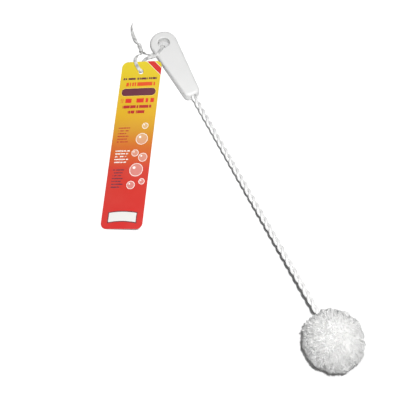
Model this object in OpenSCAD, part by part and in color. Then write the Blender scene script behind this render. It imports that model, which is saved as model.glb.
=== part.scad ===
// Glassware brush lying at rest: moulded paddle handle, twisted wire stem, ball mop and a tied hang tag.
// Millimetres. +X runs from the hang end to the mop, +Z is up, and the floor is at z = 0.

/* [Brush] */
// Overall length from the hang end to the tip of the mop
brush_length = 419; // [330:1:520]

/* [Handle] */
// Length of the moulded handle
handle_length = 88; // [70:1:120]
// Width across the round hang end
hang_end_width = 29.5; // [26:0.5:38]
// Thickness at the hang end
hang_end_thickness = 8.8; // [7.6:0.2:12]
// Width at the end where the wire leaves
wire_end_width = 17.5; // [14:0.5:22]
// Thickness at the end where the wire leaves
wire_end_thickness = 12.5; // [10:0.5:14]
// Corner radius of the wire end, seen from above
wire_end_corner = 6; // [4.5:0.5:7]
// Rounding of every outer edge
edge_round = 3; // [1.5:0.25:3.5]
// Diameter of the hang hole
hang_hole_diameter = 12.6; // [9:0.2:14]
// Distance from the hang end to the middle of the hang hole
hang_hole_setback = 15; // [12:0.5:20]
// Rounding of the rims of the hang hole
hang_hole_rim = 1; // [0.5:0.25:1.5]

/* [Stem wire] */
// Diameter of the coated wire
wire_diameter = 3; // [2:0.1:3.6]
// Length along the stem of one full turn of the twisted pair
twist_lay = 17.4; // [12:0.2:26]
// Depth of the socket in the handle
socket_depth = 28; // [15:1:45]
// Bend radius of the hairpin at the tip
hairpin_radius = 2.4; // [2.2:0.1:3]
// Distance from the hairpin to the tip of the mop
hairpin_setback = 7; // [5:0.5:14]
// Room round the wire in its socket and in the mop
wire_clearance = 0.15; // [0.05:0.05:0.4]

/* [Mop head] */
// Diameter of the ball of yarn, across the stem
mop_diameter = 60; // [50:0.5:90]
// Length of the ball of yarn, along the stem
mop_length = 64; // [50:0.5:100]
// How far the ball is pressed flat where it lies
mop_flat_depth = 1.2; // [0.6:0.1:3]
// Number of yarn tufts over the ball
tuft_count = 230; // [120:10:320]
// Depth of the furrows between the tufts
tuft_relief = 2.4; // [1:0.1:4]

/* [Hang tag] */
// Width of the card
tag_width = 45; // [34:0.5:60]
// Length of the card
tag_length = 192; // [120:1:220]
// Thickness of the card
tag_thickness = 0.5; // [0.3:0.1:1]
// Corner radius of the card
tag_corner = 6.5; // [3:0.5:10]
// Diameter of the punched hole
tag_hole_diameter = 5.6; // [5:0.2:8]
// Distance from the top edge to the middle of the punched hole
tag_hole_setback = 12.5; // [8:0.5:20]
// Angle from across the brush to the card's short edges, seen from above
tag_heading = 32; // [20:0.5:45]
// Distance along the handle from the hang end to the card's raised corner
tag_corner_along = 35.5; // [30:0.5:60]
// Room between the handle's side and the card's raised corner
tag_side_gap = 0.5; // [0.4:0.1:4]

/* [Twist tie] */
// Width of the flat tie
tie_width = 3.6; // [2.6:0.2:4]
// Thickness of the flat tie
tie_thickness = 0.45; // [0.3:0.05:0.6]

/* [Hidden] */
$fn = 64;

// Places along the brush, measured from the hang end
hang_end_radius = hang_end_width / 2;
mop_radius = mop_diameter / 2;
mop_centre = brush_length - mop_length / 2;
socket_floor = handle_length - socket_depth;
hairpin_end = brush_length - hairpin_setback;
envelope_radius = wire_diameter;
bore_radius = envelope_radius + wire_clearance;
eye_radius = hairpin_radius + wire_diameter / 2 + wire_clearance;

// The brush rests on the lower edge of its hang end and on the flat of its mop, so it lies at a slant
rest_run = mop_centre - edge_round;
rest_drop = hang_end_thickness / 2 - edge_round;
rest_rise = mop_radius - mop_flat_depth - edge_round;
slant = asin(rest_rise / norm([rest_run, rest_drop])) - atan2(rest_drop, rest_run);
lift = mop_radius - mop_flat_depth - mop_centre * sin(slant);

// The mop: a ball whose surface rises into tufts set on an even spiral, and is pressed flat where it lies
mop_rows = 34;
mop_columns = 62;
golden_angle = 137.508;
tuft_reach = acos(1 - 2 / tuft_count);
tufts = [
    for (i = [0:tuft_count - 1])
        let (c = 1 - (2 * i + 1) / tuft_count, s = sqrt(1 - c * c), a = i * golden_angle)
        [c, s * cos(a), s * sin(a)]
];
rest_direction = [-sin(slant), 0, -cos(slant)];
pressed_angle = 32;

function furrow(direction) =
    let (away = acos(min(1, max([for (t = tufts) t * direction]))) / tuft_reach)
    min(1, away * away / 2);
function pressed(direction) =
    let (t = min(1, acos(min(1, direction * rest_direction)) / pressed_angle))
    t * t * (3 - 2 * t);
function mop_swell(direction) = 1 - tuft_relief / mop_radius * furrow(direction) * pressed(direction);
function mop_place(d) =
    [mop_centre, 0, 0] + mop_swell(d) * [mop_length / 2 * d[0], mop_radius * d[1], mop_radius * d[2]];
function above_floor(p) = [p[0], p[1], max(p[2], -(lift + p[0] * sin(slant)) / cos(slant))];

mop_directions = concat(
    [
        for (i = [1:mop_rows - 1], j = [0:mop_columns - 1])
            let (polar = 180 * i / mop_rows, a = 360 * (j + (i % 2) / 2) / mop_columns)
            [cos(polar), sin(polar) * cos(a), sin(polar) * sin(a)]
    ],
    [[1, 0, 0], [-1, 0, 0]]);
mop_points = [for (d = mop_directions) above_floor(mop_place(d))];

// The brush is centred over the origin
low_end = edge_round * cos(slant) - rest_drop * sin(slant) - edge_round;
high_end = max([for (p = mop_points) p[0] * cos(slant) - p[2] * sin(slant)]);
shift = -(low_end + high_end) / 2;

module at_rest() translate([shift, 0, lift]) rotate([0, -slant, 0]) children();

// Half width and half thickness of the tapered handle at a distance from the hang end
taper_run = handle_length - wire_end_corner - hang_end_radius;
function taper(along) = (along - hang_end_radius) / taper_run;
function half_width(along) = hang_end_radius + taper(along) * (wire_end_width / 2 - hang_end_radius);
function half_thickness(along) =
    (hang_end_thickness + taper(along) * (wire_end_thickness - hang_end_thickness)) / 2;

// A disc with rounded rims, standing for one end of the handle
module round_disc(radius, thickness) {
    flank = radius - edge_round;
    cap = thickness / 2 - edge_round;
    rotate_extrude($fn = 44)
        polygon(concat(
            [[0, -thickness / 2]],
            [for (a = [-90:18:0]) [flank + edge_round * cos(a), -cap + edge_round * sin(a)]],
            [for (a = [0:18:90]) [flank + edge_round * cos(a), cap + edge_round * sin(a)]],
            [[0, thickness / 2]]));
}

// The hang hole's cutter: a through cylinder that flares into both rims
module hang_hole_cutter() {
    reach = hang_end_thickness + wire_end_thickness;
    bore = hang_hole_diameter / 2;
    face = half_thickness(hang_hole_setback);
    translate([hang_hole_setback, 0, 0]) {
        cylinder(h = reach, r = bore, center = true);
        for (side = [0, 1])
            mirror([0, 0, side])
                translate([0, 0, face - hang_hole_rim])
                    difference() {
                        cylinder(h = 2 * hang_hole_rim, r = bore + hang_hole_rim);
                        rotate_extrude()
                            translate([bore + hang_hole_rim, 0])
                                circle(r = hang_hole_rim);
                    }
    }
}

module handle() color("whitesmoke") at_rest() difference() {
    hull() {
        translate([hang_end_radius, 0, 0])
            round_disc(hang_end_radius, hang_end_thickness);
        for (side = [-1, 1])
            translate([handle_length - wire_end_corner, side * (wire_end_width / 2 - wire_end_corner), 0])
                round_disc(wire_end_corner, wire_end_thickness);
    }
    hang_hole_cutter();
    translate([socket_floor, 0, 0])
        rotate([0, 90, 0])
            cylinder(h = socket_depth + 1, r = bore_radius);
}

// The wire's middle line: a leg twists up the stem, turns in a hairpin and twists back down.
// The twist dies out and the legs spread over the last stretch before the turn.
spread_run = 10;
turn_start = hairpin_end - hairpin_radius - wire_diameter / 2;
leg_length = turn_start - socket_floor - wire_clearance - wire_diameter / 3;
rings_per_turn = 8;
leg_rings = ceil(rings_per_turn * leg_length / twist_lay);
turn_rings = 8;
wire_sides = 8;

function eased_turn(left) =
    left > spread_run ? left - spread_run / 2 : left * left / (2 * spread_run);
function leg_angle(left) = -360 * eased_turn(left) / twist_lay;
function leg_radius(left) =
    let (t = min(1, left / spread_run), s = t * t * (3 - 2 * t))
    hairpin_radius + s * (wire_diameter / 2 - hairpin_radius);
function leg_point(left, phase) =
    let (a = leg_angle(left) + phase, r = leg_radius(left))
    [turn_start - left, r * cos(a), r * sin(a)];
function turn_point(a) = [turn_start + hairpin_radius * sin(a), hairpin_radius * cos(a), 0];

leg_steps = [for (i = [0:leg_rings]) leg_length * i / leg_rings];
wire_line = concat(
    [for (i = [leg_rings:-1:0]) leg_point(leg_steps[i], 0)],
    [for (i = [1:turn_rings - 1]) turn_point(180 * i / turn_rings)],
    [for (i = [0:leg_rings]) leg_point(leg_steps[i], 180)]);
wire_outward = concat(
    [for (i = [leg_rings:-1:0]) let (a = leg_angle(leg_steps[i])) [0, cos(a), sin(a)]],
    [for (i = [1:turn_rings - 1]) let (a = 180 * i / turn_rings) [sin(a), cos(a), 0]],
    [for (i = [0:leg_rings]) let (a = leg_angle(leg_steps[i]) + 180) [0, cos(a), sin(a)]]);

function unit(v) = v / norm(v);
function squared_to(v, t) = unit(v - (v * t) * t);
function tangent(line, i) = unit(line[min(i + 1, len(line) - 1)] - line[max(i - 1, 0)]);

// A closed solid swept along a line: each ring lies square to it, with its first axis along a given lead
module swept(line, leads, outline) {
    count = len(outline);
    last = len(line) - 1;
    points = [
        for (i = [0:last])
            let (t = tangent(line, i), u = squared_to(leads[i], t), v = cross(t, u))
            for (p = outline) line[i] + p[0] * u + p[1] * v
    ];
    walls = [
        for (i = [0:last - 1], k = [0:count - 1])
            let (a = i * count + k, b = i * count + (k + 1) % count)
            each [[a, a + count, b], [b, a + count, b + count]]
    ];
    start_cap = [for (k = [0:count - 1]) k];
    end_cap = [for (k = [count - 1:-1:0]) last * count + k];
    polyhedron(points = points, faces = concat([start_cap], walls, [end_cap]), convexity = 10);
}

wire_outline = [
    for (k = [0:wire_sides - 1])
        let (a = 360 * (k + 0.5) / wire_sides)
        wire_diameter / 2 * [cos(a), sin(a)]
];

module stem_wire() color("ghostwhite") at_rest() swept(wire_line, wire_outward, wire_outline);

// The ball is one closed skin: bands of triangles between its rings, and a fan at each pole
module mop_ball() {
    tip = len(mop_points) - 2;
    bands = [
        for (i = [0:mop_rows - 3], j = [0:mop_columns - 1])
            let (k = (j + 1) % mop_columns, near = i * mop_columns, far = near + mop_columns)
            each i % 2 == 1
                ? [[near + j, near + k, far + j], [near + k, far + k, far + j]]
                : [[near + j, far + k, far + j], [near + j, near + k, far + k]]
    ];
    last = (mop_rows - 2) * mop_columns;
    caps = [
        for (j = [0:mop_columns - 1])
            let (k = (j + 1) % mop_columns)
            each [[tip, k, j], [tip + 1, last + j, last + k]]
    ];
    polyhedron(points = mop_points, faces = concat(bands, caps), convexity = 6);
}

module mop_head() color("white") at_rest() difference() {
    mop_ball();
    translate([handle_length, 0, 0])
        rotate([0, 90, 0])
            cylinder(h = turn_start - spread_run - handle_length, r = bore_radius);
    translate([turn_start - spread_run - wire_clearance, 0, 0])
        rotate([0, 90, 0])
            cylinder(h = hairpin_end - turn_start + spread_run + 2 * wire_clearance, r = eye_radius);
}

// The card leans: its long left edge lies on the floor and its far right corner is raised beside the handle
tag_corner_y = -half_width(tag_corner_along) - tag_side_gap + tag_corner * (1 - sqrt(0.5));
tag_corner_x = shift + tag_corner_along * cos(slant);
tag_rise = lift + tag_corner_along * sin(slant) + half_thickness(tag_corner_along);
tag_lean = asin(tag_rise / tag_width);
tag_turn = 90 - tag_heading;

module on_tag()
    translate([tag_corner_x, tag_corner_y, tag_rise])
        rotate([0, 0, tag_turn])
            rotate([0, -tag_lean, 0])
                children();

module hang_tag() color("gold") on_tag() linear_extrude(tag_thickness) difference() {
    translate([-tag_width / 2, -tag_length / 2]) union() {
        square([tag_width, tag_length - 2 * tag_corner], center = true);
        square([tag_width - 2 * tag_corner, tag_length], center = true);
        for (x = [-1, 1], y = [-1, 1])
            translate([x * (tag_width / 2 - tag_corner), y * (tag_length / 2 - tag_corner)])
                circle(r = tag_corner);
    }
    translate([-tag_width / 2, -tag_hole_setback])
        circle(d = tag_hole_diameter);
}

// The tie's route: from the free tip of its long end, round the twist, down through the card's hole and up
// behind it, over the handle and through the hang hole, back below, and round the twist to its short end
tie_route = [
    [-235, -18, 2.6], [-231.5, -21.5, 2.6], [-223, -24.3, 3.4], [-213.5, -25.5, 4.6],
    [-207, -24.8, 5.8], [-204, -24.4, 5.3], [-201, -24, 6.5], [-197.8, -25.4, 7.7], [-194.6, -26.9, 7.2],
    [-193.6, -31, 7.4], [-192, -34.6, 7.2], [-187.5, -37.1, 6.8], [-182, -37.6, 6.9], [-177.5, -37.2, 6.9],
    [-175.3, -36.2, 5.9], [-175, -36, 4.2], [-178, -34.3, 3.4], [-183.5, -31, 4.2], [-186, -27.5, 5.6],
    [-186, -23, 7.6], [-184.3, -18.3, 9.6], [-183.6, -14, 11.2], [-185.3, -9.5, 11.1], [-188.2, -5.2, 11.1],
    [-191.3, -2.5, 10], [-191.4, -1.8, 6], [-191, -1.8, 2.6],
    [-190.2, -5.4, 0.4], [-190, -9.5, 0.4], [-190.2, -13.5, 0.6], [-191, -18.5, 1.9], [-192.5, -22.5, 4.8],
    [-194.6, -25.3, 7.2], [-197.8, -25.4, 6.1], [-201, -25.6, 6.5], [-204, -24.4, 6.9], [-206.5, -23.2, 5.8]
];
// The direction that the tie's flat width lies along at each of those places
tie_flat = [
    [0.4, 0.4, 0.8], [0.2, 0.5, 0.8], [0.1, 0.4, 0.9], [0, 0.3, 1],
    [0, 0, 1], [0, -1, 0], [0, 0, -1], [0, 1, 0], [0, 0, 1],
    [0, 0, 1], [0, 0, 1], [0.2, 0.5, 0.8], [0.4, 0.8, 0.5], [0.4, 0.8, 0.3],
    [0.5, 0.8, 0.2], [0.5, 0.8, 0.2], [0.5, 0.8, 0.2], [0.6, 0.8, 0.1], [0.9, 0.3, 0.1],
    [1, -0.2, 0], [1, -0.2, 0], [1, 0.1, 0], [0.9, 0.4, 0], [0.8, 0.6, 0],
    [0.8, 0.6, 0], [0.6, 0.8, 0], [0.9, 0.4, 0],
    [1, 0.1, 0], [1, 0, 0], [1, 0, 0], [1, 0.1, 0.1], [0.7, 0.2, 0.7],
    [0, 0, 1], [0, 1, 0], [0, 0, -1], [0, -1, 0], [0, 0, 1]
];
tie_steps = 2;

// A smooth line through a list of places, in even steps between each two
function through(list, i, t) =
    let (a = list[max(i - 1, 0)], b = list[i], c = list[i + 1], d = list[min(i + 2, len(list) - 1)])
    b + t / 2 * (c - a + t * (2 * a - 5 * b + 4 * c - d + t * (3 * b - a - 3 * c + d)));
function smooth_line(list, steps) = concat(
    [for (i = [0:len(list) - 2], k = [0:steps - 1]) through(list, i, k / steps)],
    [list[len(list) - 1]]);

// A flat strip's section with its four corners cut
function strip_outline(width, thickness) = [
    for (c = [[1, -1], [1, 1], [-1, 1], [-1, -1]])
        let (edge = [c[0] * width / 2, c[1] * thickness / 4],
             face = [c[0] * (width - thickness) / 2, c[1] * thickness / 2])
        each c[0] * c[1] < 0 ? [face, edge] : [edge, face]
];

module twist_tie() color("white")
    swept(smooth_line(tie_route, tie_steps), smooth_line(tie_flat, tie_steps),
        strip_outline(tie_width, tie_thickness));

handle();
stem_wire();
mop_head();
twist_tie();
hang_tag();
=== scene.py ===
import math
import random

import bmesh
import bpy
import numpy as np
from mathutils import Matrix, Vector, noise


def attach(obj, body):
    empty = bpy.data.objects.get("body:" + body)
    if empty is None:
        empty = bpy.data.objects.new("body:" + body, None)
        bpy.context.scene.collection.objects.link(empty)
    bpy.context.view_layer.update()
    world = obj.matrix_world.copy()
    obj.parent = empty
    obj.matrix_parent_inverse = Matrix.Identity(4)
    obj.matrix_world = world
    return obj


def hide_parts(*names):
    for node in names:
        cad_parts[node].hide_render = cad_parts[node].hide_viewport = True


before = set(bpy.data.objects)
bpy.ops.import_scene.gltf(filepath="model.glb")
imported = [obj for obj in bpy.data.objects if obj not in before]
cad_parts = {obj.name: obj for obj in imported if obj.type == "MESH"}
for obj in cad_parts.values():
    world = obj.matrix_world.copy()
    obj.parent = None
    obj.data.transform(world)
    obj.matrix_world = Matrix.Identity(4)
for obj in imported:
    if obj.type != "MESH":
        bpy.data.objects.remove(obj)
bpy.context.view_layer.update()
print("frame loaded:", sorted(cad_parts))

mm = 0.001
scene = bpy.context.scene
scene.view_settings.view_transform = "Standard"

brush = {  # how the brush lies, in millimetres and degrees
    "slant": 3.64355, "lift": 4.20652, "shift": -208.967, "mopCentre": 387.0,
}
atRest = (Matrix.Scale(mm, 4) @ Matrix.Translation((brush["shift"], 0, brush["lift"]))
          @ Matrix.Rotation(math.radians(-brush["slant"]), 4, "Y"))


# shader expressions

class Feed:
    def __init__(self, paint, socket):
        self.paint, self.socket = paint, socket

    def math(self, kind, other=0.0, turned=False):
        first, second = (other, self) if turned else (self, other)
        return self.paint.add("ShaderNodeMath", {"operation": kind}, {0: first, 1: second})

    def clamped(self):
        return self.math("MAXIMUM", 0.0).math("MINIMUM", 1.0)

    def __add__(self, other): return self.math("ADD", other)
    def __sub__(self, other): return self.math("SUBTRACT", other)
    def __rsub__(self, other): return self.math("SUBTRACT", other, True)
    def __mul__(self, other): return self.math("MULTIPLY", other)
    def __truediv__(self, other): return self.math("DIVIDE", other)
    def __lt__(self, other): return self.math("LESS_THAN", other)
    def __gt__(self, other): return self.math("GREATER_THAN", other)
    def __abs__(self): return self.math("ABSOLUTE")
    __radd__ = __add__
    __rmul__ = __mul__


def squares(x, y):
    return x * x + y * y


class Paint:
    def __init__(self, name, kind="materials"):
        self.owner = getattr(bpy.data, kind).new(name)
        self.owner.use_nodes = True
        self.tree = self.owner.node_tree
        self.tree.nodes.clear()

    def add(self, kind, settings=None, sockets=None, out=0):
        node = self.tree.nodes.new(kind)
        for key, value in (settings or {}).items():
            if key == "stops":
                ramp = node.color_ramp.elements
                for place, _ in value[2:]:                 # a new ramp has its two end stops
                    ramp.new(place)
                for stop, (place, colour) in zip(ramp, sorted(value)):
                    stop.position = place
                    stop.color = (*colour, 1)
            else:
                setattr(node, key, value)
        for key, value in (sockets or {}).items():
            target = node.inputs[key]
            if isinstance(value, Feed):
                self.tree.links.new(value.socket, target)
            else:
                target.default_value = value
        return Feed(self, node.outputs[out]) if node.outputs else node

    def mix(self, factor, first, second):
        pair = [(*c, 1) if isinstance(c, tuple) else c for c in (first, second)]
        return self.add("ShaderNodeMix", {"data_type": "RGBA"}, {0: factor, 6: pair[0], 7: pair[1]}, 2)

    def grey(self, level):
        return self.mix(level, (0, 0, 0), (1, 1, 1))

    def noise(self, place, scale, detail=3.0, rough=0.5):
        return self.add("ShaderNodeTexNoise", {}, {
            "Vector": place, "Scale": scale, "Detail": detail, "Roughness": rough})

    def bump(self, height, strength, distance, below=None):
        sockets = {"Height": height, "Strength": strength, "Distance": distance}
        if below:
            sockets["Normal"] = below
        return self.add("ShaderNodeBump", {}, sockets)

    def objectPlace(self):
        return self.add("ShaderNodeTexCoord", {}, {}, "Object")

    def axes(self, place):
        return [self.add("ShaderNodeSeparateXYZ", {}, {0: place}, k) for k in range(3)]

    def finish(self, **sockets):
        surface = self.add("ShaderNodeBsdfPrincipled", {}, sockets)
        self.add("ShaderNodeOutputMaterial", {}, {"Surface": surface})
        return self.owner


# mesh helpers

def makePiece(name, bm, material, placed=None, sharpAngle=40.0):
    if placed is not None:
        bmesh.ops.transform(bm, matrix=placed, verts=bm.verts)
    mesh = bpy.data.meshes.new(name)
    bm.to_mesh(mesh)
    bm.free()
    mesh.materials.append(material)
    mesh.shade_smooth()
    mesh.set_sharp_from_angle(angle=math.radians(sharpAngle))
    piece = bpy.data.objects.new(name, mesh)
    scene.collection.objects.link(piece)
    return piece


def hangOnRoot(piece, slot, *nodes):
    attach(piece, "root")
    if nodes:
        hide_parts(*nodes)


def spunSolid(bm, profile, steps, place):
    before = set(bm.verts)
    verts = [bm.verts.new((r, 0, z)) for r, z in profile]
    edges = [bm.edges.new(pair) for pair in zip(verts, verts[1:])]
    bmesh.ops.spin(bm, geom=verts + edges, cent=(0, 0, 0), axis=(0, 0, 1), angle=math.tau, steps=steps, use_merge=True)
    bmesh.ops.remove_doubles(bm, verts=[v for v in bm.verts if v not in before], dist=1e-4)
    bmesh.ops.transform(bm, matrix=place, verts=[v for v in bm.verts if v not in before])


def squareFrame(place, along, lead):
    along = along.normalized()
    lead = (lead - lead.dot(along) * along).normalized()
    across = along.cross(lead)
    turn = Matrix((lead, across, along)).transposed().to_4x4()
    return Matrix.Translation(place) @ turn


def framesAlong(line, leads):
    last = len(line) - 1
    return [squareFrame(line[i], line[min(i + 1, last)] - line[max(i - 1, 0)], leads[i]) for i in range(last + 1)]


def sweptSolid(section, frames):
    bm = bmesh.new()
    verts = [bm.verts.new((x, y, 0)) for x, y in section]
    ring = [bm.edges.new((a, b)) for a, b in zip(verts, verts[1:] + verts[:1])]
    bmesh.ops.transform(bm, matrix=frames[0], verts=verts)
    ends = list(ring)
    for before, after in zip(frames, frames[1:]):
        grown = bmesh.ops.extrude_edge_only(bm, edges=ring)["geom"]
        verts = [g for g in grown if isinstance(g, bmesh.types.BMVert)]
        inRing = set(verts)
        ring = [g for g in grown if isinstance(g, bmesh.types.BMEdge) and set(g.verts) <= inRing]
        bmesh.ops.transform(bm, matrix=after @ before.inverted(), verts=verts)
    bmesh.ops.holes_fill(bm, edges=ends + ring, sides=0)
    bmesh.ops.recalc_face_normals(bm, faces=bm.faces)
    return bm


# camera

cameraSettings = {
    "lens": 90.0, "sensor": 36.0, "target": (-16.64, -44.86, 0.0), "azimuth": 63.44, "elevation": 69.5,
    "distance": 1030.8,
}


def setCamera(s):
    a, e = math.radians(s["azimuth"]), math.radians(s["elevation"])
    back = Vector((math.sin(a) * math.cos(e), -math.cos(a) * math.cos(e), math.sin(e)))
    data = bpy.data.cameras.new("viewCamera")
    data.lens, data.sensor_width = s["lens"], s["sensor"]
    camera = bpy.data.objects.new("viewCamera", data)
    camera.location = (Vector(s["target"]) + back * s["distance"]) * mm
    camera.rotation_euler = back.to_track_quat("Z", "Y").to_euler()
    scene.collection.objects.link(camera)
    scene.camera = camera


setCamera(cameraSettings)
print("camera set")

# twist tie: one flat strip with a wire core, its ends twisted together

tieSettings = {  # each flat is the way of the strip's width at the key of the same number
    "width": 3.6, "edge": 0.05, "edgeBevel": 0.1, "wing": 0.13, "ridge": 0.29, "ridgeHalf": 0.42, "ridgeFoot": 0.3,
    "shoulder": (0.7, 0.8), "steps": 6, "sharp": 50.0, "exit": (-190.2, -13.5, 0.6),
    "twistFrom": (-206.8, -24, 5.8), "twistTo": (-194.6, -26.1, 7.2), "twistRadius": 1.2, "twistStart": 180.0,
    "twistAngle": -360.0, "twistKeys": 8,
    "tail": [(-235, -18, 2.6), (-231.5, -21.5, 2.6), (-223, -24.3, 3.4), (-213.5, -25.5, 4.6), (-208.5, -25.3, 5.2)],
    "tailFlat": [(-0.3, -0.1, -0.9), (-0.4, -0.3, -0.7), (-0.4, -0.7, -0.5), (-0.1, -1, 0.1), (0, -0.7, 0.75)],
    "loop": [
        (-193.6, -31, 7.4), (-192, -34.6, 7.2), (-187.5, -37.1, 6.8), (-182, -37.6, 6.9), (-177.5, -37.2, 6.9),
        (-175.3, -36.2, 5.9), (-175, -36, 4.2), (-178, -34.3, 3.4), (-183.5, -31, 4.2), (-186, -27.5, 5.6),
        (-186, -23, 7.6), (-184.3, -18.3, 9.6), (-183.6, -14, 11.2), (-185.3, -9.5, 11.1), (-188.2, -5.2, 11.1),
        (-191.3, -2.5, 10), (-191.4, -1.8, 6), (-191, -1.8, 2.6),
        (-190.2, -5.4, 0.4), (-190, -9.5, 0.4), (-190.2, -13.5, 0.6), (-191, -18.5, 1.9), (-192.5, -22.5, 4.8),
        (-193.4, -23.8, 6.4),
    ],
    "loopFlat": [
        (0.6, 0.15, 0.7), (0.8, 0.5, 0.3), (0.4, 0.8, 0.3), (0.3, 0.85, 0.3), (0.1, 0.9, 0.25),
        (0, 0.95, 0.15), (0.35, 0.85, 0.2), (0.5, 0.8, 0.2), (0.6, 0.8, 0.1), (0.9, 0.3, 0.1),
        (1, -0.2, 0), (1, -0.2, 0), (1, 0.1, 0), (0.9, 0.4, 0), (0.8, 0.6, 0),
        (0.8, 0.6, 0), (0.6, 0.8, 0), (0.9, 0.4, 0),
        (1, 0.1, 0), (1, 0, 0), (1, 0, 0), (1, 0.1, 0.1), (0.6, 0.4, 0.7),
        (0.3, 0.45, 0.85),
    ],
}


def smoothLine(places, steps):
    points = [Vector(p) for p in places]
    last = len(points) - 1
    line = []
    for i in range(last):
        a, b, c, d = points[max(i - 1, 0)], points[i], points[i + 1], points[min(i + 2, last)]
        for k in range(steps):
            t = k / steps
            line.append(b + t / 2 * (c - a + t * (2 * a - 5 * b + 4 * c - d + t * (3 * b - a - 3 * c + d))))
    return line + [points[last]]


def twistedPair(s):
    start, end = Vector(s["twistFrom"]), Vector(s["twistTo"])
    pair = []
    for side in (1, -1):
        keys = []
        for k in range(s["twistKeys"] + 1):
            t = k / s["twistKeys"]
            a = math.radians(s["twistStart"] + s["twistAngle"] * t)
            outward = side * Vector((0, math.cos(a), math.sin(a)))
            keys.append((start.lerp(end, t) + s["twistRadius"] * outward, Vector((0, outward.z, -outward.y))))
        pair.append(keys)
    return pair


def tieFinish():
    paint = Paint("tieStrip")
    place = paint.objectPlace()
    cloud = paint.noise(place, scale=260.0, detail=4.0)
    crinkle = paint.noise(place, scale=1400.0, detail=3.0)
    cloudy = ((cloud - 0.34) * 3.0).clamped()
    colour = paint.mix(cloudy, (0.33, 0.33, 0.33), (0.76, 0.76, 0.75))
    return paint.finish(**{
        "Base Color": colour, "Roughness": 0.34 + 0.2 * cloud, "Coat Weight": 0.2,
        "Normal": paint.bump(crinkle, strength=0.6, distance=0.00025)})


def makeTie(s):
    first, second = twistedPair(s)
    keys = [*zip(s["tail"], s["tailFlat"]), *first, *zip(s["loop"], s["loopFlat"]), *reversed(second)]
    line, leads = [smoothLine(part, s["steps"]) for part in zip(*keys)]
    half, wing, ridge, core = s["width"] / 2, s["wing"], s["ridge"], s["ridgeHalf"]
    inward, upward = s["shoulder"]
    upper = [(half, s["edge"]), (half - s["edgeBevel"], wing), (core + s["ridgeFoot"], wing),
             (core * inward, ridge * upward), (0, ridge)]
    top = upper + [(-x, y) for x, y in reversed(upper[:-1])]
    section = top + [(-x, -y) for x, y in top]
    bm = sweptSolid(section, framesAlong(line, leads))
    piece = makePiece("tieRibbon", bm, tieFinish(), Matrix.Scale(mm, 4), s["sharp"])
    hangOnRoot(piece, "tie_strip", "twist_tie")
    path = [p * mm for p in line]
    length = sum((b - a).length for a, b in zip(path, path[1:]))
    return piece, path, length


tiePiece, tiePath, tieLength = makeTie(tieSettings)
print("tie length in mm:", round(tieLength / mm, 1))

# hang tag: one printed card with round corners and a punched hole

tagSettings = {  # heights and places on the print are in millimetres from its top left corner
    "width": 45.0, "length": 192.0, "thickness": 0.5, "corner": 6.5, "cornerSteps": 12,
    "hole": 5.6, "holeSteps": 40, "holeSetback": 12.5, "cell": 6.0, "bow": 0.35, "crossBow": 0.6, "sharp": 30.0,
    "place": (-173.539, -11.4949, 11.4333), "lean": 14.7187, "turn": 58.0,
    "fade": [  # share of the length and colour, the two ends first
        (0.0, (0.74, 0.59, 0.02)), (1.0, (0.53, 0.009, 0.011)), (0.13, (0.71, 0.50, 0.015)),
        (0.33, (0.67, 0.38, 0.012)), (0.42, (0.59, 0.28, 0.012)), (0.52, (0.56, 0.13, 0.012)),
        (0.66, (0.53, 0.021, 0.012)),
    ],
    "inks": {
        "maroon": (0.10, 0.008, 0.03), "deepRed": (0.42, 0.012, 0.012), "orange": (0.72, 0.075, 0.01),
        "white": (0.80, 0.79, 0.76), "gold": (0.82, 0.60, 0.10), "red": (0.66, 0.022, 0.01),
        "bubble": (0.90, 0.86, 0.78), "bubbleRim": (0.88, 0.86, 0.82), "glint": (0.92, 0.91, 0.88),
        "panelRim": (0.10, 0.008, 0.02), "panel": (0.70, 0.70, 0.68),
        "bandRim": (0.86, 0.80, 0.70), "band": (0.60, 0.014, 0.016), "warm": (0.95, 0.80, 0.60),
    },
    "wordGap": 0.34, "strokeGap": 0.37, "strokePitch": 2.4, "strokeSeed": 40.0,
    "rows": [  # height, width, thickness, grain, seed and ink
        (20.8, 38.0, 2.4, 0.30, 3.1, "maroon"), (27.4, 35.0, 4.4, 0.24, 7.7, "orange"),
        (47.0, 37.0, 5.0, 0.24, 11.3, "red"), (54.2, 33.0, 3.4, 0.26, 17.9, "deepRed"),
        (60.4, 19.0, 3.4, 0.26, 23.2, "deepRed"),
    ],
    "pillAt": 36.8, "pills": [(39.6, 10.0, "gold"), (38.4, 8.8, "maroon")],
    "lineLeft": 5.5, "lineGap": 3.2, "lineTall": 1.25, "lineGrain": 0.42, "ragged": 0.22, "lineSeed": 2.3,
    "lines": [  # first height, count, width, seed and ink
        (79.0, 6, 13.0, 31.0, "deepRed"), (105.5, 5, 16.0, 47.0, "white"), (127.0, 7, 12.5, 61.0, "maroon"),
    ],
    "bubbleLine": 0.7, "glintOff": 0.35, "glintSize": 0.22, "bubbleFill": 0.22, "rimFill": 0.85, "glintFill": 0.9,
    "bubbles": [
        (33.0, 92.0, 6.2), (27.5, 108.0, 3.6), (36.5, 113.0, 4.6), (31.0, 127.0, 7.0), (38.5, 140.0, 3.0),
        (27.0, 144.0, 4.2), (35.0, 77.0, 3.2),
    ],
    "panelAt": 178.2, "panelSag": 0.0065, "panels": [(15.8, 6.0, "panelRim"), (14.8, 5.0, "panel")],
    "bands": [(27.4, 36.6, "bandRim"), (28.0, 36.0, "band")],
}


def cardBack():
    paint = Paint("tagBack")
    place = paint.objectPlace()
    fibre = paint.noise(place, scale=900.0, detail=5.0, rough=0.65)
    cloud = paint.noise(place, scale=60.0, detail=2.0)
    colour = paint.mix(cloud, (0.74, 0.73, 0.70), (0.80, 0.79, 0.77))
    return paint.finish(**{
        "Base Color": colour, "Roughness": 0.62 + 0.15 * fibre,
        "Normal": paint.bump(fibre, strength=0.2, distance=0.00006)})


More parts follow.
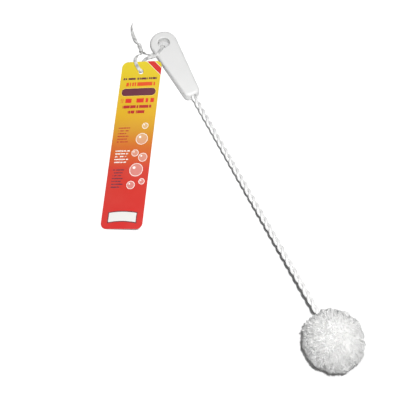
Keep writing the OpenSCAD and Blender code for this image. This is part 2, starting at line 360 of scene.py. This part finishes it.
def cardPrint(s):
    paint = Paint("tagPrint")
    u, v = paint.axes(paint.add("ShaderNodeUVMap", {"uv_map": "cardPlace"}))[:2]
    x = u * s["width"]                      # millimetres from the left edge
    y = (1 - v) * s["length"]               # millimetres from the top edge
    middle = s["width"] / 2
    laid = [paint.add("ShaderNodeValToRGB", {"stops": s["fade"]}, {0: 1 - v})]

    def lay(mask, ink):
        laid[0] = paint.mix(mask, laid[0], s["inks"][ink])

    def pill(cx, cy, wide, tall):
        outer = (abs(x - cx) - (wide - tall) / 2).math("MAXIMUM", 0.0)
        return squares(outer, y - cy) < (tall * tall / 4)

    def wordRow(cx, cy, wide, tall, grain, seed):
        words, strokes = [
            paint.noise(paint.add("ShaderNodeCombineXYZ", {}, {0: x * pitch, 1: start}), scale=1.0, detail=0.0)
            for pitch, start in ((grain, seed), (s["strokePitch"] / tall, seed + s["strokeSeed"]))]
        bar = (abs(x - cx) < wide / 2) * (abs(y - cy) < tall / 2)
        return bar * (words > s["wordGap"]) * (strokes > s["strokeGap"])

    def awayFrom(cx, cy):
        return squares(x - cx, y - cy).math("SQRT")

    for cy, wide, tall, grain, seed, ink in s["rows"]:
        lay(wordRow(middle, cy, wide, tall, grain, seed), ink)
    for wide, tall, ink in s["pills"]:
        lay(pill(middle, s["pillAt"], wide, tall), ink)
    for top, count, wide, seed, ink in s["lines"]:
        for k in range(count):
            reach = wide * (1 - s["ragged"] * ((k * 7) % 5) / 4)
            lay(wordRow(s["lineLeft"] + reach / 2, top + s["lineGap"] * k, reach, s["lineTall"], s["lineGrain"],
                        seed + s["lineSeed"] * k), ink)
    for cx, cy, radius in s["bubbles"]:
        away = awayFrom(cx, cy)
        off = radius * s["glintOff"]
        lay((away < radius) * s["bubbleFill"], "bubble")
        lay((abs(away - radius) < s["bubbleLine"] / 2) * s["rimFill"], "bubbleRim")
        lay((awayFrom(cx - off, cy - off) < radius * s["glintSize"]) * s["glintFill"], "glint")
    beside = x - middle
    panelRise = abs(y - beside * beside * s["panelSag"] - s["panelAt"])
    for wide, tall, ink in s["panels"]:
        lay((abs(beside) < wide) * (panelRise < tall), ink)
    slope = x - y
    for low, high, ink in s["bands"]:
        lay((slope > low) * (slope < high), ink)
    place = paint.objectPlace()
    cloud = paint.noise(place, scale=34.0, detail=3.0)
    grain = paint.noise(place, scale=1600.0, detail=2.0)
    scuff = paint.noise(place, scale=190.0, detail=5.0, rough=0.7)
    tone = paint.mix(cloud * 0.05, laid[0], s["inks"]["warm"])
    wear = ((scuff - 0.60) * 6.0).clamped()
    return paint.finish(**{
        "Base Color": tone, "Roughness": 0.42 + 0.10 * cloud + 0.14 * wear, "Specular IOR Level": 0.28,
        "Normal": paint.bump(grain, strength=0.10, distance=0.00003)})


def makeTag(s):
    bm = bmesh.new()
    wide, tall = s["width"], s["length"]
    corners = [bm.verts.new((x, y, 0)) for x, y in ((-wide, -tall), (0, -tall), (0, 0), (-wide, 0))]
    bm.faces.new(corners)
    bmesh.ops.bevel(bm, geom=corners, offset=s["corner"], offset_type="OFFSET", affect="VERTICES",
                    segments=s["cornerSteps"], profile=0.5, material=-1)
    rim = list(bm.edges)
    bmesh.ops.delete(bm, geom=list(bm.faces), context="FACES_ONLY")
    hole = bmesh.ops.create_circle(bm, segments=s["holeSteps"], radius=s["hole"] / 2, cap_ends=False,
                                   matrix=Matrix.Translation((-wide / 2, -s["holeSetback"], 0)))["verts"]
    holeEdges = list({e for v in hole for e in v.link_edges})
    bmesh.ops.triangle_fill(bm, edges=rim + holeEdges, use_beauty=True, use_dissolve=False, normal=(0, 0, 1))
    for normal, span in ((Vector((1, 0, 0)), wide), (Vector((0, 1, 0)), tall)):      # cells that can bow
        for k in range(1, int(span / s["cell"])):
            bmesh.ops.bisect_plane(bm, geom=bm.verts[:] + bm.edges[:] + bm.faces[:], dist=1e-5,
                                   plane_co=-normal * k * s["cell"], plane_no=normal)
    bmesh.ops.dissolve_limit(bm, angle_limit=0.001, verts=[], edges=[])
    bmesh.ops.recalc_face_normals(bm, faces=bm.faces)
    if sum(f.normal.z for f in bm.faces) < 0:
        bmesh.ops.reverse_faces(bm, faces=bm.faces)
    front = list(bm.faces)
    grown = bmesh.ops.extrude_face_region(bm, geom=front)["geom"]
    raised = [g for g in grown if isinstance(g, bmesh.types.BMVert)]
    bmesh.ops.translate(bm, verts=raised, vec=(0, 0, s["thickness"]))
    upper = {g for g in grown if isinstance(g, bmesh.types.BMFace)}
    bmesh.ops.recalc_face_normals(bm, faces=bm.faces)
    layer = bm.loops.layers.uv.new("cardPlace")
    for face in bm.faces:
        face.material_index = 0 if face in upper else 1
        for loop in face.loops:
            loop[layer].uv = (1 + loop.vert.co.x / wide, 1 + loop.vert.co.y / tall)
    for vert in bm.verts:                                  # a slight bow, as a card has
        across, along = 1 + vert.co.x / wide, -vert.co.y / tall
        rise = math.sin(math.pi * across) * s["crossBow"] + math.sin(math.pi * along)
        vert.co.z += s["bow"] * rise * across
    placed = (Matrix.Scale(mm, 4) @ Matrix.Translation(s["place"])
              @ Matrix.Rotation(math.radians(s["turn"]), 4, "Z")
              @ Matrix.Rotation(math.radians(-s["lean"]), 4, "Y"))
    piece = makePiece("tagCard", bm, cardPrint(s), placed, s["sharp"])
    piece.data.materials.append(cardBack())
    hangOnRoot(piece, "tag_card", "hang_tag")
    return piece


tagPiece = makeTag(tagSettings)
print("tag card made, faces:", len(tagPiece.data.polygons))

# handle: one moulding, wide and round at the hang end

handleSettings = {
    "length": 88.0, "endWidth": 29.5, "endThick": 8.8, "wireWidth": 17.5, "wireThick": 12.5, "corner": 6.0,
    "edgeRound": 3.0, "roundSteps": 10, "around": 120, "sharp": 32.0, "evenWeight": 80,
    "hole": 12.6, "holeSetback": 15.0, "holeSteps": 96, "rim": 1.0, "rimSteps": 8, "cutReach": 14.0,
    "socket": 3.15, "socketDepth": 28.0, "socketSteps": 64, "socketBevel": 0.5, "socketPast": 3.0,
    "seam": 0.00016,
}


def handleFinish(s):
    paint = Paint("handlePlastic")
    place = paint.objectPlace()
    turned = paint.add("ShaderNodeMapping", {"vector_type": "TEXTURE"}, {
        "Vector": place, "Location": (brush["shift"] * mm, 0, brush["lift"] * mm),
        "Rotation": (0, math.radians(-brush["slant"]), 0)})
    rise = paint.axes(turned)[2]
    cloud = paint.noise(place, scale=42.0, detail=3.0)
    grain = paint.noise(place, scale=2600.0, detail=2.0)
    scuff = paint.noise(place, scale=320.0, detail=5.0, rough=0.7)
    seam = (1 - abs(rise) / s["seam"]).math("MAXIMUM", 0.0)
    colour = paint.mix(cloud, (0.66, 0.66, 0.655), (0.72, 0.72, 0.715))
    rough = 0.36 + 0.12 * cloud + 0.10 * scuff
    fine = paint.bump(grain, strength=0.12, distance=0.00004)
    return paint.finish(**{
        "Base Color": colour, "Roughness": rough,
        "Normal": paint.bump(seam, strength=0.6, distance=0.00012, below=fine)})


def quarterTurn(steps):
    return [math.pi / 2 * k / steps for k in range(steps + 1)]


def roundedProfile(radius, thick, rounding, steps):
    flank, cap = radius - rounding, thick / 2 - rounding
    low = [(flank + rounding * math.sin(a), -cap - rounding * math.cos(a)) for a in quarterTurn(steps)]
    return low + [(r, -z) for r, z in reversed(low)]


def makeHandle(s):
    discs = bmesh.new()
    inner = s["wireWidth"] / 2 - s["corner"]
    ends = [(s["endWidth"] / 2, s["endThick"], (s["endWidth"] / 2, 0))]
    ends += [(s["corner"], s["wireThick"], (s["length"] - s["corner"], side * inner)) for side in (-1, 1)]
    for radius, thick, (cx, cy) in ends:
        spunSolid(discs, roundedProfile(radius, thick, s["edgeRound"], s["roundSteps"]), s["around"],
                  Matrix.Translation((cx, cy, 0)))
    bm = bmesh.new()
    for vert in discs.verts:
        bm.verts.new(vert.co)
    discs.free()
    hull = bmesh.ops.convex_hull(bm, input=bm.verts, use_existing_faces=False)
    spare = {g for key in ("geom_interior", "geom_unused") for g in hull[key] if isinstance(g, bmesh.types.BMVert)}
    bmesh.ops.delete(bm, geom=list(spare), context="VERTS")
    bmesh.ops.recalc_face_normals(bm, faces=bm.faces)
    piece = makePiece("handleMoulding", bm, handleFinish(s))
    bore, rim, reach = s["hole"] / 2, s["rim"], s["cutReach"]
    face = s["endThick"] / 2
    flare = [(bore + rim - rim * math.cos(a), face - rim + rim * math.sin(a)) for a in quarterTurn(s["rimSteps"])]
    holeProfile = [(0, reach), (bore + rim, reach), *reversed(flare), *[(r, -z) for r, z in flare],
                   (bore + rim, -reach), (0, -reach)]
    mouth, radius, bevel = s["length"], s["socket"], s["socketBevel"]
    bottom, past = mouth - s["socketDepth"], mouth + s["socketPast"]
    socketProfile = [(0, bottom), (radius, bottom), (radius, mouth - bevel), (radius + bevel, mouth),
                     (radius + bevel, past), (0, past)]
    for label, profile, steps, place in (
            ("hangHole", holeProfile, s["holeSteps"], Matrix.Translation((s["holeSetback"], 0, 0))),
            ("wireSocket", socketProfile, s["socketSteps"], Matrix.Rotation(math.pi / 2, 4, "Y"))):
        cutterMesh = bmesh.new()
        spunSolid(cutterMesh, profile, steps, place)
        bmesh.ops.recalc_face_normals(cutterMesh, faces=cutterMesh.faces)
        cutter = makePiece(label, cutterMesh, piece.data.materials[0])
        cut = piece.modifiers.new(label, "BOOLEAN")
        cut.operation, cut.solver, cut.object = "DIFFERENCE", "EXACT", cutter
        graph = bpy.context.evaluated_depsgraph_get()
        carved = bpy.data.meshes.new_from_object(piece.evaluated_get(graph))
        piece.modifiers.clear()
        piece.data = carved
        bpy.data.objects.remove(cutter)
    piece.data.transform(atRest)
    piece.data.shade_smooth()
    piece.data.set_sharp_from_angle(angle=math.radians(s["sharp"]))
    even = piece.modifiers.new("evenShade", "WEIGHTED_NORMAL")
    even.mode, even.weight, even.keep_sharp = "FACE_AREA_WITH_ANGLE", s["evenWeight"], True
    hangOnRoot(piece, "handle_plastic", "handle")
    return piece


handlePiece = makeHandle(handleSettings)
print("handle made, faces:", len(handlePiece.data.polygons))

# stem: one coated wire, folded in a hairpin and twisted on itself

stemSettings = {
    "wire": 3.0, "lay": 17.4, "turnStart": 408.1, "legLength": 346.95, "hairpin": 2.4, "spread": 10.0,
    "ringsPerTurn": 22, "turnRings": 14, "sides": 14, "sharp": 60.0,
}


def stemFinish():
    paint = Paint("wireVinyl")
    place = paint.objectPlace()
    cloud = paint.noise(place, scale=55.0, detail=4.0)
    skin = paint.noise(place, scale=900.0, detail=3.0)
    speck = paint.noise(place, scale=420.0, detail=4.0, rough=0.7)
    colour = paint.mix(cloud, (0.64, 0.64, 0.635), (0.72, 0.72, 0.715))
    return paint.finish(**{
        "Base Color": colour, "Roughness": 0.26 + 0.14 * speck, "Coat Weight": 0.15 + 0.2 * cloud,
        "Normal": paint.bump(skin, strength=0.12, distance=0.00006)})


def makeStem(s):
    def legPlace(left, phase):
        turned = left - s["spread"] / 2 if left > s["spread"] else left * left / (2 * s["spread"])
        a = phase - math.tau * turned / s["lay"]
        t = min(1.0, left / s["spread"])
        r = s["hairpin"] + t * t * (3 - 2 * t) * (s["wire"] / 2 - s["hairpin"])
        outward = Vector((0, math.cos(a), math.sin(a)))
        return Vector((s["turnStart"] - left, 0, 0)) + r * outward, outward

    count = math.ceil(s["ringsPerTurn"] * s["legLength"] / s["lay"])
    lefts = [s["legLength"] * k / count for k in range(count + 1)]
    first = [legPlace(left, 0.0) for left in reversed(lefts)]
    second = [legPlace(left, math.pi) for left in lefts]
    bend = []
    for k in range(1, s["turnRings"]):
        a = math.pi * k / s["turnRings"]
        outward = Vector((math.sin(a), math.cos(a), 0))
        bend.append((Vector((s["turnStart"], 0, 0)) + s["hairpin"] * outward, outward))
    line, leads = zip(*(first + bend + second))
    angles = [math.tau * k / s["sides"] for k in range(s["sides"])]
    section = [(s["wire"] / 2 * math.cos(a), s["wire"] / 2 * math.sin(a)) for a in angles]
    bm = sweptSolid(section, framesAlong(line, leads))
    piece = makePiece("stemTwist", bm, stemFinish(), atRest, s["sharp"])
    hangOnRoot(piece, "wire_coating", "stem_wire")
    return piece


stemPiece = makeStem(stemSettings)
print("stem made, faces:", len(stemPiece.data.polygons))

# mop: a ball of cut yarn, gathered in tufts, with loose fibres at the cut ends

mopSettings = {
    "length": 64.0, "width": 60.0, "tufts": 230, "perTuft": 18, "seed": 7, "tuftAskew": (0.2, 0.5, 0.84),
    "yarn": 0.90, "yarnSizes": (0.88, 1.14), "sides": 6, "rings": 3, "lobe": 0.80, "twist": 50.0,
    "root": 0.78, "height": 0.955, "relief": 4.4, "uneven": 0.026, "tipUneven": 0.016,
    "gather": 0.72, "lean": 1.05, "scatter": 0.018, "bend": 0.4, "droop": 0.20, "sag": 0.5,
    "wireRoom": 4.5, "wireTip": 412.6, "strandAskew": (0.31, 0.87, 0.39), "strandFloor": 0.0001,
    "fibres": 9000, "fibreRadius": 0.07, "fibreLength": 2.2, "fibreLengths": (0.5, 1.1), "fibreFrom": (0.2, 1.6),
    "fibreStray": 0.45, "fibreSplay": 0.42, "fibreCurl": 0.35, "fibreTurn": 6.0, "fibreSides": 3, "fibreRings": 2,
    "bed": 0.870, "bedRough": 0.02, "bedGrain": 9.0, "bedFine": 5, "bedFloor": 0.0006,
    "bore": 3.3, "boreFlare": 1.3, "boreEnd": 413.0,
    "yarnLight": (0.85, 0.848, 0.838), "yarnDark": (0.77, 0.767, 0.755),
    "fuzzLight": (0.89, 0.89, 0.878), "fuzzDark": (0.81, 0.807, 0.795),
}


def yarnFinish(name, light, dark):
    paint = Paint(name)
    place = paint.objectPlace()
    tone = paint.add("ShaderNodeAttribute", {"attribute_name": "yarnTone"}, {}, "Fac")
    u, v = paint.axes(paint.add("ShaderNodeUVMap", {"uv_map": "yarnPlace"}))[:2]
    cloud = paint.noise(place, scale=70.0, detail=3.0)
    fibre = paint.noise(place, scale=2200.0, detail=3.0, rough=0.6)
    ply = ((u * 3 + v * 5) * math.tau).math("SINE")
    # painted shade: each strand's colour darkens toward its root, deep among the other strands
    inner = (1 - v).math("MAXIMUM", 0.0)
    colour = paint.mix(0.5 * tone + 0.5 * cloud, dark, light)
    colour = paint.mix(inner * 0.25, colour, dark)
    coarse = paint.bump(ply, strength=0.45, distance=0.00018)
    return paint.finish(**{
        "Base Color": colour, "Roughness": 0.86 + 0.1 * fibre, "Sheen Weight": 0.9, "Sheen Roughness": 0.5,
        "Subsurface Weight": 0.7, "Subsurface Radius": (1, 1, 1), "Subsurface Scale": 0.0028,
        "Normal": paint.bump(fibre, strength=0.3, distance=0.00010, below=coarse)})


def strandTemplate(sides, rings, lobe, twist):
    bm = bmesh.new()
    ring = bmesh.ops.create_circle(bm, segments=sides, radius=1.0, cap_ends=False)["verts"]
    for k, vert in enumerate(ring):
        if k % 2:
            vert.co *= lobe
    edges = list(bm.edges)
    step = Matrix.Translation((0, 0, 1.0 / rings)) @ Matrix.Rotation(math.radians(twist), 4, "Z")
    for _ in range(rings):
        grown = bmesh.ops.extrude_edge_only(bm, edges=edges)["geom"]
        verts = [g for g in grown if isinstance(g, bmesh.types.BMVert)]
        chosen = set(verts)
        edges = [g for g in grown if isinstance(g, bmesh.types.BMEdge) and set(g.verts) <= chosen]
        bmesh.ops.transform(bm, matrix=step, verts=verts)
    cap = bmesh.ops.holes_fill(bm, edges=edges, sides=0)["faces"]
    bmesh.ops.poke(bm, faces=cap)
    bmesh.ops.holes_fill(bm, edges=bm.edges, sides=0)
    bmesh.ops.recalc_face_normals(bm, faces=bm.faces)
    if sum(f.normal.xy.dot(f.calc_center_median().xy) for f in bm.faces) < 0:
        bmesh.ops.reverse_faces(bm, faces=bm.faces)
    bm.verts.ensure_lookup_table()
    corners = np.array([v.co for v in bm.verts])
    faces = [[v.index for v in f.verts] for f in bm.faces]
    bm.free()
    return corners, faces


def mopPlace(direction, share, s):
    return Vector((brush["mopCentre"] + s["length"] / 2 * share * direction.x, s["width"] / 2 * share * direction.y,
                   s["width"] / 2 * share * direction.z))


def clearOfWire(places, s, room):
    limit = s["wireRoom"] + room
    side = Vector((0, *places[-1].yz)).normalized()            # the whole strand keeps to its tip's side
    cleared = []
    for p in places:
        across = Vector((0, *p.yz)) - side * p.dot(side)
        if p.x < s["wireTip"] + room and across.length < limit:
            outer = max(p.dot(side), math.sqrt(limit * limit - across.length_squared))
            p = Vector((p.x, 0, 0)) + across + side * outer
        cleared.append(p)
    return cleared


def copyStrands(s, name, template, strands, radiusAlong, material):
    corners, faces = template
    n = len(corners)
    heights = corners[:, 2]
    coords, tones = [], []
    for places, size, turn, tone in strands:
        line = np.array(places)
        at = heights * (len(line) - 1)
        low = np.clip(at.astype(int), 0, len(line) - 2)
        centre = line[low] + (line[low + 1] - line[low]) * (at - low)[:, None]
        along = line[-1] - line[0]
        along = along / np.linalg.norm(along)
        side = np.cross(along, s["strandAskew"])
        side = side / np.linalg.norm(side)
        other = np.cross(along, side)
        c, t = math.cos(turn), math.sin(turn)
        x, y = corners[:, 0] * c - corners[:, 1] * t, corners[:, 0] * t + corners[:, 1] * c
        spread = size * radiusAlong(heights)
        coords.append(centre + (x * spread)[:, None] * side + (y * spread)[:, None] * other)
        tones.append(tone)
    coords = np.concatenate(coords)
    allFaces = [[v + k * n for v in f] for k in range(len(strands)) for f in faces]
    mesh = bpy.data.meshes.new(name)
    mesh.from_pydata(coords.tolist(), [], allFaces)
    mesh.transform(atRest)
    flat = np.empty(len(mesh.vertices) * 3)
    mesh.vertices.foreach_get("co", flat)
    flat[2::3] = np.maximum(flat[2::3], s["strandFloor"])     # pressed flat on the floor
    mesh.vertices.foreach_set("co", flat)
    tone = mesh.attributes.new("yarnTone", "FLOAT", "POINT")
    tone.data.foreach_set("value", np.repeat(tones, n).astype(np.float32))
    around = np.arctan2(corners[:, 1], corners[:, 0]) / math.tau + 0.5
    one = np.array([(around[v], heights[v]) for f in faces for v in f])
    layer = mesh.uv_layers.new(name="yarnPlace")
    layer.data.foreach_set("uv", np.tile(one, (len(strands), 1)).astype(np.float32).ravel())
    mesh.materials.append(material)
    mesh.shade_smooth()
    mesh.update()
    piece = bpy.data.objects.new(name, mesh)
    scene.collection.objects.link(piece)
    return piece


def makeBed(s, material):
    bm = bmesh.new()
    bmesh.ops.create_icosphere(bm, subdivisions=s["bedFine"], radius=1.0)
    for vert in bm.verts:
        share = s["bed"] + s["bedRough"] * noise.noise(vert.co * s["bedGrain"])
        vert.co = mopPlace(vert.co.normalized(), share, s)
    mouth = [v for v in bm.verts if v.co.x < brush["mopCentre"] and math.hypot(v.co.y, v.co.z) < s["bore"]]
    bmesh.ops.delete(bm, geom=mouth, context="VERTS")
    edges = [e for e in bm.edges if e.is_boundary]
    for vert in {v for e in edges for v in e.verts}:
        k = s["bore"] / math.hypot(vert.co.y, vert.co.z)
        vert.co.y, vert.co.z = vert.co.y * k, vert.co.z * k
    grown = bmesh.ops.extrude_edge_only(bm, edges=edges)["geom"]
    for vert in [g for g in grown if isinstance(g, bmesh.types.BMVert)]:
        vert.co = (s["boreEnd"], vert.co.y * s["boreFlare"], vert.co.z * s["boreFlare"])
    bmesh.ops.holes_fill(bm, edges=[e for e in bm.edges if e.is_boundary], sides=0)
    bmesh.ops.recalc_face_normals(bm, faces=bm.faces)
    bmesh.ops.transform(bm, matrix=atRest, verts=bm.verts)
    for vert in bm.verts:
        vert.co.z = max(vert.co.z, s["bedFloor"])
    layer = bm.loops.layers.uv.new("yarnPlace")
    for face in bm.faces:
        for loop in face.loops:
            loop[layer].uv = (0.5, 1.0)
    return makePiece("mopBed", bm, material, sharpAngle=180.0)


def makeYarns(s, draw):
    reach = math.acos(1 - 2 / s["tufts"])
    golden = math.radians(137.508)
    yarns = []
    for i in range(s["tufts"]):
        c = 1 - (2 * i + 1) / s["tufts"]
        r = math.sqrt(1 - c * c)
        heart = Vector((c, r * math.cos(i * golden), r * math.sin(i * golden)))
        side = heart.cross(Vector(s["tuftAskew"])).normalized()
        other = heart.cross(side)
        up = Vector((0, 0, 1)) - heart * heart.z
        tuftLength = draw.gauss(0, s["uneven"])
        for k in range(s["perTuft"]):
            out = math.sqrt((k + 0.5) / s["perTuft"])
            a = k * golden + i
            sideways = (math.cos(a) * side + math.sin(a) * other) * (reach * out * s["lean"])
            start = (heart + sideways * s["gather"] + up * s["droop"]).normalized()
            stray = side * draw.gauss(0, s["scatter"]) + other * draw.gauss(0, s["scatter"])
            tip = (heart + sideways + stray).normalized()
            drop = s["relief"] * out * out / s["width"]              # a tuft is lower at its rim
            height = s["height"] - drop + tuftLength + draw.gauss(0, s["tipUneven"])
            bend = (side * draw.gauss(0, 1) + other * draw.gauss(0, 1)) * s["bend"]
            places = []
            for ring in range(s["rings"] + 1):
                t = ring / s["rings"]
                p = mopPlace(start.lerp(tip, t).normalized(), s["root"] + (height - s["root"]) * t, s)
                places.append(p + bend * math.sin(math.pi * t) + Vector((0, 0, -s["sag"] * t * t)))
            yarns.append((clearOfWire(places, s, s["yarn"]), s["yarn"] * draw.uniform(*s["yarnSizes"]),
                          draw.uniform(0, math.tau), draw.random()))
    return yarns


def makeFibres(s, draw, yarns):
    def stray():
        return Vector((draw.gauss(0, 1), draw.gauss(0, 1), draw.gauss(0, 1)))

    fibres = []
    for _ in range(s["fibres"]):
        places = draw.choice(yarns)[0]
        tip = places[-1]
        along = (tip - places[-3]).normalized()
        away = stray()
        start = tip - along * draw.uniform(*s["fibreFrom"]) + away * s["fibreStray"]
        curl = stray() * s["fibreCurl"]
        aim = (along + away * s["fibreSplay"]).normalized() * s["fibreLength"] * draw.uniform(*s["fibreLengths"])
        fibres.append(([start, start + aim * 0.5 + curl, start + aim], s["fibreRadius"],
                       draw.uniform(0, s["fibreTurn"]), 1.0))
    return fibres


def yarnRadius(h):                                     # swells toward the tip, then draws in at the cut end
    return 0.82 + 0.34 * h - 1.1 * np.maximum(h - 0.8, 0)


def fibreRadius(h):
    return 1 - 0.6 * h


def makeMop(s):
    draw = random.Random(s["seed"])
    yarns = makeYarns(s, draw)
    fibres = makeFibres(s, draw, yarns)
    yarnShape = strandTemplate(s["sides"], s["rings"], s["lobe"], s["twist"])
    fibreShape = strandTemplate(s["fibreSides"], s["fibreRings"], 1.0, 0.0)
    yarnPiece = copyStrands(s, "mopYarn", yarnShape, yarns, yarnRadius,
                            yarnFinish("mopYarn", s["yarnLight"], s["yarnDark"]))
    fuzzPiece = copyStrands(s, "mopFuzz", fibreShape, fibres, fibreRadius,
                            yarnFinish("mopFuzz", s["fuzzLight"], s["fuzzDark"]))
    hangOnRoot(yarnPiece, "mop_yarn", "mop_head")
    hangOnRoot(fuzzPiece, "mop_yarn")
    hangOnRoot(makeBed(s, yarnPiece.data.materials[0]), "mop_yarn")
    return yarnPiece, fuzzPiece


yarnPiece, fuzzPiece = makeMop(mopSettings)
print("mop made, faces:", len(yarnPiece.data.polygons), len(fuzzPiece.data.polygons))

# stage: a pale floor that goes white far off, one small lamp beside the camera and a weak fill

stageSettings = {
    "floorSize": 3.0, "floorSeen": 0.68, "floorMost": 0.95, "floorUnseen": (0.8, 0.8, 0.8), "skyLight": 0.08,
    # painted shade: the floor's colour turns grey in a spot below the hang hole
    "paintedHoleShade": (-0.195, 0.0105), "paintedHoleShadeGrey": (0.52, 0.52, 0.52), "glowFrom": 0.21, "glowFade": 0.3,
    "keyPower": 13.8, "keySize": 0.04, "keyFrom": (0.259, -0.0965, 1.0),     # to the camera's upper right
    "fillPower": 1.3, "fillSize": 1.4, "fillFrom": (-0.25, 0.55, 1.5),
}


def lookRays(paint):
    rays = ("Is Camera Ray", "Is Glossy Ray", "Is Transmission Ray")
    return sum(paint.add("ShaderNodeLightPath", {}, {}, ray) for ray in rays).math("MINIMUM", 1.0)


def floorFinish(s):
    paint = Paint("floorPale")
    x, y = paint.axes(paint.objectPlace())[:2]
    far = ((squares(x, y).math("SQRT") - s["glowFrom"]) / s["glowFade"]).clamped()     # white far from the object
    keyX, keyY, keyZ = s["keyFrom"]
    reach = squares(x - keyX, y - keyY) / (keyZ * keyZ) + 1.0
    level = (reach * reach * s["floorSeen"]).math("MINIMUM", s["floorMost"])           # evens out the lamp's fall-off
    middle, radius = s["paintedHoleShade"]                                                        # painted shade: a grey spot in the floor's colour below the hang hole
    paintedHoleShade = squares(x - middle, y) < (radius * radius)
    shown = paint.add("ShaderNodeAddShader", {}, {
        0: paint.add("ShaderNodeBsdfDiffuse", {}, {"Color": paint.mix(paintedHoleShade, paint.grey(level), s["paintedHoleShadeGrey"])}),
        1: paint.add("ShaderNodeEmission", {}, {"Color": paint.grey(far)})})
    hidden = paint.add("ShaderNodeBsdfDiffuse", {}, {"Color": (*s["floorUnseen"], 1)})
    paint.add("ShaderNodeOutputMaterial", {}, {
        "Surface": paint.add("ShaderNodeMixShader", {}, {0: lookRays(paint), 1: hidden, 2: shown})})
    return paint.owner


def makeStage(s):
    bm = bmesh.new()
    bmesh.ops.create_grid(bm, x_segments=2, y_segments=2, size=s["floorSize"])
    floor = makePiece("floorSheet", bm, floorFinish(s))
    sky = Paint("studio", "worlds")
    scene.world = sky.owner
    sky.add("ShaderNodeOutputWorld", {}, {"Surface": sky.add("ShaderNodeBackground", {}, {
        "Color": (1, 1, 1, 1), "Strength": s["skyLight"] + (1 - s["skyLight"]) * lookRays(sky)})})
    for name, power, size, place in (("keyLight", s["keyPower"], s["keySize"], s["keyFrom"]),
                                     ("fillLight", s["fillPower"], s["fillSize"], s["fillFrom"])):
        data = bpy.data.lights.new(name, "AREA")
        data.energy, data.shape, data.size = power, "SQUARE", size
        lamp = bpy.data.objects.new(name, data)
        lamp.location = place
        lamp.rotation_euler = Vector(place).to_track_quat("Z", "Y").to_euler()
        scene.collection.objects.link(lamp)


makeStage(stageSettings)
print("stage set")
